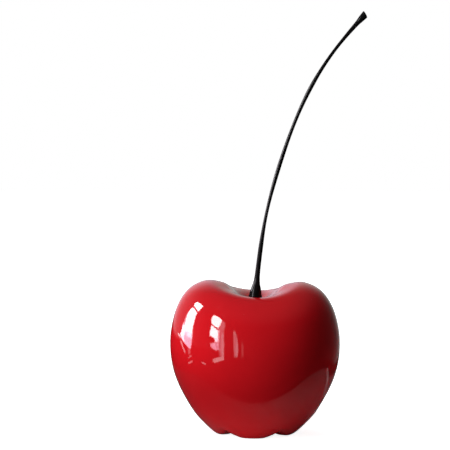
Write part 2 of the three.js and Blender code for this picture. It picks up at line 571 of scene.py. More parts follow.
@dataclass(frozen=True)
class RedLacquer(Lacquer):
    """Deep red gloss over cast resin, with painted shade darkening it low in the creases between lobes and
    round the stem, rubbed through where the lobes stand.
    """

    title: str = "red_lacquer"
    thin: Colour = (0.66, 0.0085, 0.0140)
    thick_and_shade: Colour = (0.46, 0.0040, 0.0090)
    dust: Colour = (0.55, 0.42, 0.40)
    gloss: float = 0.03
    smear: float = 0.035
    ior: float = 1.5
    wave_height: float = 0.06 * MM
    clouds: float = 18.0
    patches: float = 25.0
    waves: float = 30.0
    peel: float = 400.0
    dust_roughness: float = 0.4
    # The painted shade: how dark it is low in the creases between lobes, and how far it reaches round the
    # stem in the dimple.
    crease_count: int = 5
    crease_edge: Station = (0.45, 0.0)
    crease_heights: Station = (16 * MM, 2 * MM)
    crease_share: float = 0.15
    stem_reach: Station = (17 * MM, 8 * MM)
    stem_rise: float = 8 * MM
    resin: Colour = (0.56, 0.50, 0.42)
    resin_roughness: float = 0.62
    rubbed_height: float = 0.25 * MM
    rubbed_grain: float = 500.0
    rubbed_raggedness: float = 0.35 * MM

    def make(
        self, groups: GroupBuilder, axis_x: float, crease_turn: float, seat_height: float
    ) -> bpy.types.Material:
        """Builds the material.

        Args:
            groups: the shared effects.
            axis_x: how far the body's axis is to the right of the origin.
            crease_turn: the angle of the front lobe's middle, in radians from +X.
            seat_height: the height of the dimple's floor.

        Returns:
            The material.
        """
        material, sheet, shader, place = self.start()
        x, depth, height = sheet.axes(place)
        across = sheet.math("SUBTRACT", x, axis_x)
        angle = sheet.math("SUBTRACT", sheet.math("ARCTAN2", depth, across), crease_turn)
        squares = sheet.math("ADD", sheet.math("POWER", across, 2), sheet.math("POWER", depth, 2))
        # Painted shade, low in the creases between lobes and round the stem.
        painted_shade = self._painted_shade(sheet, angle, sheet.math("SQRT", squares), height, seat_height)
        coat, rough, dust = self.coat(groups, sheet, shader, place, painted_shade)
        bare = self._bare(sheet, place, height)
        sheet.feed(shader.inputs["Base Color"], sheet.blend(bare, coat, self.resin))
        dusty = sheet.math("MULTIPLY_ADD", dust, self.dust_roughness, rough)
        sheet.feed(shader.inputs["Roughness"], sheet.spread(bare, dusty, self.resin_roughness))
        return material

    def _painted_shade(
        self, sheet: NodeSheet, angle: Socket, radius: Socket, height: Socket, seat_height: float
    ) -> Socket:
        """Painted shade: darker low in the creases between lobes, and round the stem in the dimple.

        Args:
            sheet: the material's sheet.
            angle: the angle from the front lobe's middle.
            radius: the distance from the body's axis.
            height: the height.
            seat_height: the height of the dimple's floor.

        Returns:
            A mask from 0 to 1.
        """
        wave = sheet.math("COSINE", sheet.math("MULTIPLY", angle, self.crease_count / 2))
        crease = sheet.step(sheet.math("ABSOLUTE", wave), *self.crease_edge)
        low = sheet.step(height, *self.crease_heights)
        near_stem = sheet.step(radius, *self.stem_reach)
        high = sheet.step(height, seat_height - self.stem_rise, seat_height)
        creases = sheet.product(crease, low, self.crease_share)
        return sheet.math("MAXIMUM", creases, sheet.product(near_stem, high))

    def _bare(self, sheet: NodeSheet, place: Socket, height: Socket) -> Socket:
        """Where no lacquer is left: rubbed off the ground lobes, and never sprayed inside.

        Args:
            sheet: the material's sheet.
            place: the coordinates.
            height: the height.

        Returns:
            A mask from 0 to 1.
        """
        ragged = sheet.noise(place, self.rubbed_grain, detail=3.0)
        edge = sheet.math("MULTIPLY_ADD", ragged, -self.rubbed_raggedness, height)
        rubbed = sheet.step(edge, self.rubbed_height, 0.0)
        inside = sheet.add("ShaderNodeAttribute", attribute_name=LacqueredBody.INSIDE).outputs["Fac"]
        return sheet.math("MAXIMUM", rubbed, inside)


@dataclass(frozen=True)
class BlackLacquer(Lacquer):
    """Black gloss over a drawn metal rod."""

    title: str = "black_lacquer"
    thin: Colour = (0.0065, 0.0062, 0.0066)
    thick_and_shade: Colour = (0.0030, 0.0030, 0.0034)
    dust: Colour = (0.08, 0.08, 0.08)
    gloss: float = 0.14
    smear: float = 0.08
    ior: float = 1.22
    wave_height: float = 0.05 * MM
    clouds: float = 120.0
    patches: float = 90.0
    waves: float = 90.0
    peel: float = 900.0

    def make(self, groups: GroupBuilder) -> bpy.types.Material:
        """Builds the material.

        Args:
            groups: the shared effects.

        Returns:
            The material.
        """
        material, sheet, shader, place = self.start()
        coat, rough, _ = self.coat(groups, sheet, shader, place, 0.0)
        sheet.feed(shader.inputs["Base Color"], coat)
        sheet.feed(shader.inputs["Roughness"], rough)
        return material


# ---- The pieces ----------------------------------------------------------------------------------


@dataclass
class LacqueredBody:
    """The hollow heart-shaped body, from the blind hole in its dimple to the roof of its hollow.

    Two half outlines are blended all the way round: one over a shoulder, to the left or right, and one
    over the lower saddle, at the front or back. The stations are [radius, height] in millimetres.
    """

    INSIDE = "inside"

    axis_x: float
    name: str = "lacquered_body"
    node: str = "body"
    seat_height: float = 128.5
    bore_radius: float = 2.8
    bore_depth: float = 15.7
    bore_shoulder: float = 1
    shoulder: tuple[Station, ...] = (
        (2.8, 128.5), (9, 129.2), (18, 137.5), (27, 146.2), (35, 149.3), (43.5, 150.7), (53, 149.5),
        (66.4, 142), (77.3, 126.2), (83, 107), (84.8, 88), (82.5, 66.8), (75.6, 46.3), (65, 26.8),
        (55.8, 14.4),
    )  # fmt: skip
    saddle: tuple[Station, ...] = (
        (2.8, 128.5), (9, 128.9), (18, 130.6), (27, 134), (36, 136.8), (45, 138), (54, 136.2),
        (64, 128.7), (72.8, 116.8), (77.6, 101.8), (79.4, 85), (77.5, 65), (71.4, 46), (61.7, 27),
        (53.8, 14.6),
    )  # fmt: skip
    underside: tuple[Station, ...] = ((43, 2.1), (36.5, -0.6), (29.5, -0.6), (23, 2.6), (15, 9), (7, 12))
    hollow: tuple[Station, ...] = (
        (7, 19.5), (16, 18.5), (28, 15.5), (40, 17), (52, 24), (62, 36), (69.5, 50), (75.5, 67),
        (78, 85), (76, 97), (66, 104.5), (48, 106), (24, 106), (6, 106),
    )  # fmt: skip
    hollow_depth_share: float = 0.935
    shoulder_drop: float = 1.9
    drop_width: float = 18
    drop_heights: Station = (90, 150.7)
    drop_reach: float = 40
    lobes: int = 5
    lobe_turn: float = math.radians(-3.5)
    crease_rise: float = 6.5
    crease_inset: float = 1.2
    crease_sharpness: float = 1.7
    crease_span: Station = (0.0, 1.9)
    crease_fade_start: float = 3.5
    crease_centre_share: float = 0.25
    columns: int = 60
    rings_a_span: int = 3
    hollow_ring_count: int = 14
    levels: int = 2
    fitting_rounds: int = 40
    touch: float = 1e-6
    level: float = 0.999
    piece: bpy.types.Object | None = field(default=None, init=False)

    @property
    def front_lobe(self) -> float:
        """The angle of the front lobe's middle, from +X."""
        return -math.pi / 2 + self.lobe_turn

    @property
    def angles(self) -> np.ndarray:
        """The angle of each column, from +X."""
        return self.front_lobe + np.arange(self.columns) * 2 * math.pi / self.columns

    def crease(self, angle: np.ndarray) -> np.ndarray:
        """How deep in a crease each angle lies: 0 on a lobe's middle and 1 in the crease."""
        wave = np.abs(np.cos(self.lobes / 2 * (angle - self.front_lobe)))
        return (1 - wave) ** self.crease_sharpness

    def skin(self) -> np.ndarray:
        """The lacquered outside from the dimple's hole to the vent.

        Returns:
            Points in metres by ring, column and axis, about the body's own axis.
        """
        spans = len(self.shoulder) + len(self.underside) - 1
        share = np.linspace(0, 1, spans * self.rings_a_span + 1)
        angle = self.angles
        over_shoulder = SmoothLine(self.shoulder + self.underside).at(share)[:, None]
        over_saddle = SmoothLine(self.saddle + self.underside).at(share)[:, None]
        side = (np.cos(angle) ** 2)[None, :, None]
        radius, height = np.moveaxis(over_saddle + (over_shoulder - over_saddle) * side, -1, 0)
        drop = ease(height, *self.drop_heights) * ease(radius, self.bore_radius, self.drop_reach)
        height = height - self.shoulder_drop / 2 * np.tanh(radius * np.cos(angle) / self.drop_width) * drop
        place, edge = share * spans, len(self.shoulder) - 1
        strength = ease(place, edge + self.crease_span[0], edge + self.crease_span[1])
        fade = ease(place, edge + self.crease_fade_start, spans)
        strength = strength * (1 - (1 - self.crease_centre_share) * fade)
        crease = self.crease(angle)[None, :] * strength[:, None]
        vent, next_in = self.underside[-1][0], self.underside[2][0]
        height = height + self.crease_rise * crease
        radius = radius - self.crease_inset * crease * ease(radius, vent, next_in)
        return np.stack([radius * np.cos(angle), radius * np.sin(angle), height], -1) * MM

    def lining(self) -> np.ndarray:
        """The hollow's wall from the vent to the middle of its roof.

        Returns:
            Points in metres by ring, column and axis, about the body's own axis.
        """
        share = np.linspace(0, 1, self.hollow_ring_count)
        angle = self.angles
        radius, height = SmoothLine(self.hollow).at(share).T
        depth = 1 + (self.hollow_depth_share - 1) * ease(share, 0, 1 / (len(self.hollow) - 1))
        x = radius[:, None] * np.cos(angle)
        y = (radius * depth)[:, None] * np.sin(angle)
        return np.stack([x, y, np.broadcast_to(height[:, None], x.shape)], -1) * MM

    def build(self) -> bpy.types.Object:
        """Models the body.

        Returns:
            The finished mesh object, without its material.
        """
        skin, lining = self.skin(), self.lining()
        bore = np.stack([skin[0], skin[0]])
        bore[0, :, 2] = (self.seat_height - self.bore_depth) * MM
        bore[1, :, 2] = (self.seat_height - self.bore_shoulder) * MM
        rings = np.concatenate([bore, skin, lining])
        piece = self._rough_out(rings)
        first = len(bore)
        self._shape(piece, rings, range(first + 1, first + len(skin) - 1))
        self._mark_inside(piece, first + len(skin))
        Workbench.subdivide(piece, self.levels)
        self._grind_feet(piece)
        self.piece = piece
        return piece

    def _rough_out(self, rings: np.ndarray) -> bpy.types.Object:
        """Draws plain oval rings out of one another, from the bore's floor round to the hollow's roof.

        Args:
            rings: the body's points, of which each ring's width, depth and mean height count here.

        Returns:
            The closed cage, in object mode.
        """
        widths = np.ptp(rings[:, :, 0], axis=1) / 2
        depths = np.ptp(rings[:, :, 1], axis=1) / 2
        heights = rings[:, :, 2].mean(axis=1)
        piece = Workbench.start_ring(self.name, self.columns, widths[0], heights[0], self.axis_x)
        for i in range(1, len(rings)):
            Workbench.next_ring(
                heights[i] - heights[i - 1],
                widths[i] / widths[i - 1],
                depths[i] / depths[i - 1],
                Vector((self.axis_x, 0, heights[i])),
            )
        Workbench.close_rim()
        Workbench.face_outwards()
        return piece

    def _shape(self, piece: bpy.types.Object, rings: np.ndarray, exact: range) -> None:
        """Moves the cage's points so that the smoothed surface passes through the given ones.

        Args:
            piece: the cage.
            rings: the points that the smoothed surface is to pass through.
            exact: the rings for which it does; the others are the cage's own.
        """
        # A smoothed surface passes each point of its cage at a mean of 16 parts of the point, 4 of each
        # neighbour along the two ways and 1 of each across.
        cage = rings.copy()
        rows = np.array(exact)
        for _ in range(self.fitting_rounds):
            beside = np.roll(cage, 1, 1) + np.roll(cage, -1, 1)
            limit = (
                16 * cage[rows]
                + 4 * (cage[rows - 1] + cage[rows + 1] + beside[rows])
                + beside[rows - 1]
                + beside[rows + 1]
            ) / 36
            cage[rows] += rings[rows] - limit
        points = Workbench.read(piece)
        count = self.columns
        order = np.arange(len(rings) * count).reshape(len(rings), count)
        offset = self._first_of_ring(points, rings)
        for ring in range(len(rings)):
            index = order[ring] + offset[ring]
            angle = np.arctan2(points[index, 1], points[index, 0] - self.axis_x)
            column = np.rint((angle + math.pi / 2) / (2 * math.pi / count)).astype(int) % count
            points[index] = cage[ring, column] + (self.axis_x, 0, 0)
        Workbench.write(piece, points)

    def _first_of_ring(self, points: np.ndarray, rings: np.ndarray) -> np.ndarray:
        """How far each ring's points are moved on in the mesh by the middle point of the first disc.

        Args:
            points: the cage's points.
            rings: the body's points.

        Returns:
            One offset a ring.
        """
        middle = np.hypot(points[:, 0] - self.axis_x, points[:, 1]).argmin()
        starts = np.arange(len(rings)) * self.columns
        return (starts >= middle).astype(int)

    def _mark_inside(self, piece: bpy.types.Object, first_ring: int) -> None:
        """Marks the hollow's points, which stay bare of lacquer.

        Args:
            piece: the cage.
            first_ring: the first ring of the hollow.
        """
        mark = piece.data.attributes.new(self.INSIDE, "FLOAT", "POINT")
        values = np.zeros(len(piece.data.vertices), np.float32)
        values[first_ring * self.columns + 1 :] = 1
        mark.data.foreach_set("value", values)

    def _grind_feet(self, piece: bpy.types.Object) -> None:
        """Cuts the lobes level where they stand.

        Args:
            piece: the smoothed body.
        """
        bpy.ops.object.mode_set(mode="EDIT")
        bpy.ops.mesh.select_all(action="SELECT")
        bpy.ops.mesh.bisect(
            plane_co=(0, 0, 0), plane_no=(0, 0, 1), use_fill=True, clear_inner=True, threshold=self.touch
        )
        bpy.ops.mesh.select_all(action="DESELECT")
        bpy.ops.object.mode_set(mode="OBJECT")
        for face in piece.data.polygons:
            face.use_smooth = not (face.normal.z < -self.level and face.center.z < self.touch)

    def dress(self, finish: RedLacquer, groups: GroupBuilder) -> None:
        """Gives the body its lacquer and sets it in the frame.

        Args:
            finish: the lacquer.
            groups: the shared effects.
        """
        material = finish.make(groups, self.axis_x, self.front_lobe, self.seat_height * MM)
        self.piece.data.materials.clear()
        self.piece.data.materials.append(material)
        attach(self.piece, "root")
        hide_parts(self.node)


@dataclass
class BlackStem:
    """The stem: a spigot in the dimple's hole, a flared foot, a drawn rod and a flared, slanting end.

    The line is [sideways, height] in millimetres about the body's axis. The taper is [distance along the
    line, radius] and the end's cap [rise above the taper's end, radius].
    """

    axis_x: float
    name: str = "black_stem"
    node: str = "stem"
    spigot_radius: float = 2.5
    spigot_length: float = 15
    spigot_chamfer: float = 0.3
    foot_gap: float = 0.6
    foot_edge: float = 0.25
    line: tuple[Station, ...] = (
        (0, 128.5), (0.6, 138), (1.75, 150), (3.6, 167.2), (8.6, 203.1), (16.5, 239.1), (27.2, 274.9),
        (40.2, 310.6), (57, 346.3), (80.4, 382.1), (108.6, 415),
    )  # fmt: skip
    taper: tuple[Station, ...] = (
        (0, 7.4), (5, 6.95), (9.5, 6.1), (13.5, 5.25), (17.5, 4.1), (21, 3.3), (27, 2.72), (38, 2.43),
        (56, 2.3), (72, 1.92), (90, 1.64), (110, 1.8), (134, 2.11), (155, 1.96), (180, 1.74), (205, 1.88),
        (224, 2.09), (242, 1.8), (268, 1.63), (285, 1.79), (299, 2.18), (305, 2.55), (310, 3.2), (315, 3.6),
    )  # fmt: skip
    end_tilt: float = math.radians(17)
    end_slant_reach: float = 5
    end_cap: tuple[Station, ...] = ((0.28, 3.46), (0.48, 2.98), (0.62, 2.05), (0.7, 0.9))
    sides: int = 20
    steps: int = 96
    line_points: int = 1200
    levels: int = 2
    piece: bpy.types.Object | None = field(default=None, init=False)

    def centreline(self) -> tuple[np.ndarray, np.ndarray]:
        """The stem's bent line.

        Returns:
            Many points of it as [sideways, height] and each one's distance along it, in millimetres.
        """
        points = SmoothLine(self.line).at(np.linspace(0, 1, self.line_points))
        steps = np.hypot(*np.diff(points, axis=0).T)
        return points, np.concatenate([[0], np.cumsum(steps)])

    def outline(self) -> list[Station]:
        """The straight stem before it is bent.

        Returns:
            [distance, radius] from the spigot's end to the tip, in millimetres.
        """
        reach = self.centreline()[1][-1]
        taper = SmoothLine(self.taper).at(np.linspace(0, 1, self.steps))
        along = self.foot_gap + taper[:, 0] * reach / self.taper[-1][0]
        foot, rim, end, pin = self.foot_gap, self.taper[0][1], -self.spigot_length, self.spigot_radius
        # The rings beside a corner hold it crisp when the outline is smoothed.
        spigot = [
            (end, pin - self.spigot_chamfer), (end + self.spigot_chamfer, pin), (end + 1, pin),
            (foot - 0.5, pin), (foot, pin), (foot, pin + 0.5),
            (foot, rim - 0.6), (foot, rim - 0.1), (foot + self.foot_edge, rim),
        ]  # fmt: skip
        rod = [(a, r) for a, r in zip(along, taper[:, 1]) if a > foot + self.foot_edge + 0.05]
        cap = [(rod[-1][0] + rise, radius) for rise, radius in self.end_cap]
        return [*spigot, *rod, *cap]

    def build(self) -> bpy.types.Object:
        """Models the stem.

        Returns:
            The finished mesh object, without its material.
        """
        # Subdivision draws a ring of few sides in by this share, which the cage makes up for.
        kept = 2 / 3 + math.cos(2 * math.pi / self.sides) / 3
        outline = [(along * MM, radius * MM / kept) for along, radius in self.outline()]
        piece = Workbench.start_ring(self.name, self.sides, outline[0][1], outline[0][0], 0)
        for (low, radius), (high, wider) in zip(outline, outline[1:]):
            Workbench.next_ring(high - low, wider / radius, wider / radius, Vector((0, 0, high)))
        Workbench.close_rim()
        Workbench.face_outwards()
        Workbench.subdivide(piece, self.levels)
        self._slant_end(piece)
        self._bend(piece)
        self.piece = piece
        return piece

    def _slant_end(self, piece: bpy.types.Object) -> None:
        """Leans the flared end back on the side that the stem bends to.

        Args:
            piece: the straight stem, upright on the origin.
        """
        points = Workbench.read(piece)
        reach = self.centreline()[1][-1] * MM
        share = ease(points[:, 2], reach - self.end_slant_reach * MM, reach)
        points[:, 2] -= math.tan(self.end_tilt) * points[:, 0] * share
        Workbench.write(piece, points)

    def _bend(self, piece: bpy.types.Object) -> None:
        """Bends the straight stem along its line, in the plane of the two shoulders.

        Args:
            piece: the straight stem, upright on the origin.
        """
        line, distance = self.centreline()
        heading = np.gradient(line, distance, axis=0)
        heading /= np.linalg.norm(heading, axis=1, keepdims=True)
        points = Workbench.read(piece) / MM
        along = points[:, 2]
        held = np.clip(along, 0, distance[-1])
        place = np.stack([np.interp(held, distance, line[:, i]) for i in (0, 1)], 1)
        ahead = np.stack([np.interp(held, distance, heading[:, i]) for i in (0, 1)], 1)
        ahead[along <= 0] = (0, 1)
        ahead /= np.linalg.norm(ahead, axis=1, keepdims=True)
        place += ahead * (along - held)[:, None]
        sideways = place[:, 0] + ahead[:, 1] * points[:, 0]
        height = place[:, 1] - ahead[:, 0] * points[:, 0]
        bent = np.stack([sideways, points[:, 1], height], 1) * MM
        Workbench.write(piece, bent + (self.axis_x, 0, 0))

    def dress(self, finish: BlackLacquer, groups: GroupBuilder) -> None:
        """Gives the stem its lacquer and sets it in the frame.

        Args:
            finish: the lacquer.
            groups: the shared effects.
        """
        self.piece.data.materials.clear()
        self.piece.data.materials.append(finish.make(groups))
        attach(self.piece, "root")
        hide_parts(self.node)


# ---- The studio ----------------------------------------------------------------------------------


class Seen(Enum):
    """What a light works on."""

    SHADE = "shade"  # it lights surfaces and is never mirrored
    GLOSS = "gloss"  # it is mirrored and lights nothing


def hang_light(name: str, at: Vector, facing: Vector, size: Station, seen: Seen) -> bpy.types.Object:
    """Hangs a flat light that gives a radiance of one.

    Args:
        name: the light's name.
        at: its middle.
        facing: the way it shines.
        size: its width and height.
        seen: what it works on.

    Returns:
        The light.
    """
    data = bpy.data.lights.new(name, "AREA")
    data.shape = "RECTANGLE"
    data.size, data.size_y = size
    data.energy = 4 * size[0] * size[1]
    light = bpy.data.objects.new(name, data)
    bpy.context.scene.collection.objects.link(light)
    light.location = at
    light.rotation_euler = facing.to_track_quat("-Z", "Y").to_euler()
    light.visible_camera = False
    light.visible_diffuse = seen is Seen.SHADE
    light.visible_glossy = seen is Seen.GLOSS
    return light


@dataclass(frozen=True)
class SoftBox:
    """A large soft light. The azimuth is from the camera's side, and to the left it is negative."""

    name: str
    azimuth: float
    elevation: float
    irradiance: float
    distance: float = 2.0
    side: float = 0.9

    def place(self, aim: Vector) -> None:
        """Hangs the soft box.

        Args:
            aim: the middle of the body, at which it points.
        """
        turn, rise = math.radians(self.azimuth), math.radians(self.elevation)
        way = Vector((math.sin(turn) * math.cos(rise), -math.cos(turn) * math.cos(rise), math.sin(rise)))
        size = (self.side, self.side)
        light = hang_light(self.name, aim + way * self.distance, -way, size, Seen.SHADE)
        light.data.energy *= self.irradiance * self.distance**2 / self.side**2


@dataclass(frozen=True)
class Pane:
    """A bright or dim piece of a window.

    Its corners are [how far back, height] in millimetres, in order. Soft is half the width of its
    blurred edge, and broken is how much of its light the clouds in it take away.
    """

    corners: tuple[Station, ...]
    radiance: float
    pink: float = 0.0
    soft: float = 8
    broken: float = 0.0


@dataclass(frozen=True)
class TallWindow:
    """A tall window in the wall to the left, which only shows mirrored in the lacquer.

    Its panes are painted one over the other, the first one lowest. Where it has a flank, it is flagged
    off from the rest of the body, and the stem has a copy of its own. The flank is [how far to the right
    of the axis it ends, how far back it is, how high it is where the window's foot is mirrored], and
    flank_rise tells how much higher on it a higher part of the window is mirrored. The stem's gains are
    for the copy's low, middle and high part, which meet at the two spans of height in metres.
    """

    name: str
    panes: tuple[Pane, ...]
    flank: tuple[float, float, float] | None = None
    flank_edge: Station = (15, -5)
    flank_rise: float = 0.048
    stem_gain: tuple[float, float, float] = (0.4, 1.2, 0.25)
    stem_gain_heights: tuple[Station, Station] = ((0.25, 0.5), (0.65, 0.85))
    wall: float = -1000
    plain_tint: Colour = (1.0, 1.0, 1.0)
    pink_tint: Colour = (1.12, 0.84, 1.10)
    cloud_edge: Station = (0.36, 0.62)
    clouds: float = 7.0

    def place(self, axis_x: float, stem_only: bpy.types.Collection) -> None:
        """Sets the window in its wall, and its copy for the stem a little before it.

        Args:
            axis_x: how far the body's axis is to the right of the origin.
            stem_only: what the copy falls on.
        """
        self._hang(self.name, axis_x, for_stem=False)
        if self.flank:
            copy = self._hang(self.name + "_stem", axis_x, for_stem=True)
            copy.location.x += MM
            copy.light_linking.receiver_collection = stem_only

    def _hang(self, name: str, axis_x: float, for_stem: bool) -> bpy.types.Object:
        """Hangs one light that is painted with the panes.

        Args:
            name: the light's name.
            axis_x: how far the body's axis is to the right of the origin.
            for_stem: whether it is the stem's own.

        Returns:
            The light.
        """
        corners = np.array([corner for pane in self.panes for corner in pane.corners])
        margin = max(pane.soft for pane in self.panes)
        low, high = corners.min(0) - margin, corners.max(0) + margin
        middle, size = (low + high) / 2 * MM, (high - low) * MM
        at = Vector((axis_x + self.wall * MM, *middle))
        light = hang_light(name, at, Vector((1, 0, 0)), tuple(size), Seen.GLOSS)
        light.data.use_nodes = True
        sheet = NodeSheet(light.data.node_tree)
        place = sheet.add("ShaderNodeNewGeometry").outputs["Position"]
        _, back, height = sheet.axes(place)
        bright, pink = self._paint(sheet, place, back, height)
        if for_stem:
            bright = sheet.product(bright, self._gain(sheet, height))
        elif self.flank:
            bright = sheet.product(bright, self._on_flank(sheet, back, height))
        emission = light.data.node_tree.nodes["Emission"]
        sheet.feed(emission.inputs["Color"], sheet.blend(pink, self.plain_tint, self.pink_tint))
        sheet.feed(emission.inputs["Strength"], bright)
        return light

    def _paint(self, sheet: NodeSheet, place: Socket, back: Socket, height: Socket) -> tuple[Feed, Feed]:
        """Paints the panes over one another.

        Args:
            sheet: the light's sheet.
            place: the coordinates.
            back: how far back a point is.
            height: how high it is.

        Returns:
            How bright and how pink the window is.
        """
        bright, pink = 0.0, 0.0
        for pane in self.panes:
            inside = self._inside(sheet, back, height, pane)
            radiance = pane.radiance
            if pane.broken:
                noise = sheet.noise(place, self.clouds, detail=2.0, warp=0.5)
                dim = pane.radiance * (1 - pane.broken)
                radiance = sheet.spread(sheet.step(noise, *self.cloud_edge), dim, pane.radiance)
            bright = sheet.spread(inside, bright, radiance)
            pink = sheet.spread(inside, pink, pane.pink)
        return bright, pink

    @staticmethod
    def _inside(sheet: NodeSheet, back: Socket, height: Socket, pane: Pane) -> Socket:
        """Where one pane is.

        Args:
            sheet: the light's sheet.
            back: how far back a point is.
            height: how high it is.
            pane: the pane, whose outline bulges everywhere.

        Returns:
            A mask, 1 inside the pane's outline and 0 outside.
        """
        corners = np.array(pane.corners) * MM
        onward = np.roll(corners, -1, 0)
        turn = np.sign(np.sum(corners[:, 0] * onward[:, 1] - onward[:, 0] * corners[:, 1]))
        inside = 1.0
        for (y, z), (next_y, next_z) in zip(corners, onward):
            length = math.hypot(next_y - y, next_z - z)
            inward_y, inward_z = -turn * (next_z - z) / length, turn * (next_y - y) / length
            upright = sheet.math("MULTIPLY_ADD", height, inward_z, -(inward_y * y + inward_z * z))
            distance = sheet.math("MULTIPLY_ADD", back, inward_y, upright)
            inside = sheet.math("MINIMUM", sheet.step(distance, -pane.soft * MM, pane.soft * MM), inside)
        return inside

    def _gain(self, sheet: NodeSheet, height: Socket) -> Socket:
        """How much brighter the stem's copy is, from its foot over its middle to its top.

        Args:
            sheet: the light's sheet.
            height: how high a point is.

        Returns:
            The factor.
        """
        (low, middle, high), (first, second) = self.stem_gain, self.stem_gain_heights
        gain = sheet.spread(sheet.step(height, *first), low, middle)
        return sheet.spread(sheet.step(height, *second), gain, high)

    def _on_flank(self, sheet: NodeSheet, back: Socket, height: Socket) -> Socket:
        """Flags the window off from all but the flank, told by how far its light has gone.

        Args:
            sheet: the light's sheet.
            back: how far back a point is.
            height: how high it is.

        Returns:
            A mask, 1 for light that has gone to the flank.
        """
        right, flank_back, flank_height = (value * MM for value in self.flank)
        length = sheet.add("ShaderNodeLightPath").outputs["Ray Length"]
        upward = sheet.math("MULTIPLY_ADD", height, 1 - self.flank_rise, -flank_height)
        squares = sheet.math("POWER", sheet.math("SUBTRACT", back, flank_back), 2)
        squares = sheet.math("MULTIPLY_ADD", upward, upward, squares)
        squares = sheet.math("SUBTRACT", sheet.product(length, length), squares)
        away = sheet.math("SQRT", sheet.math("MAXIMUM", squares, 0.0))
        edge = right - self.wall * MM
        return sheet.step(away, *(edge + soft * MM for soft in self.flank_edge))


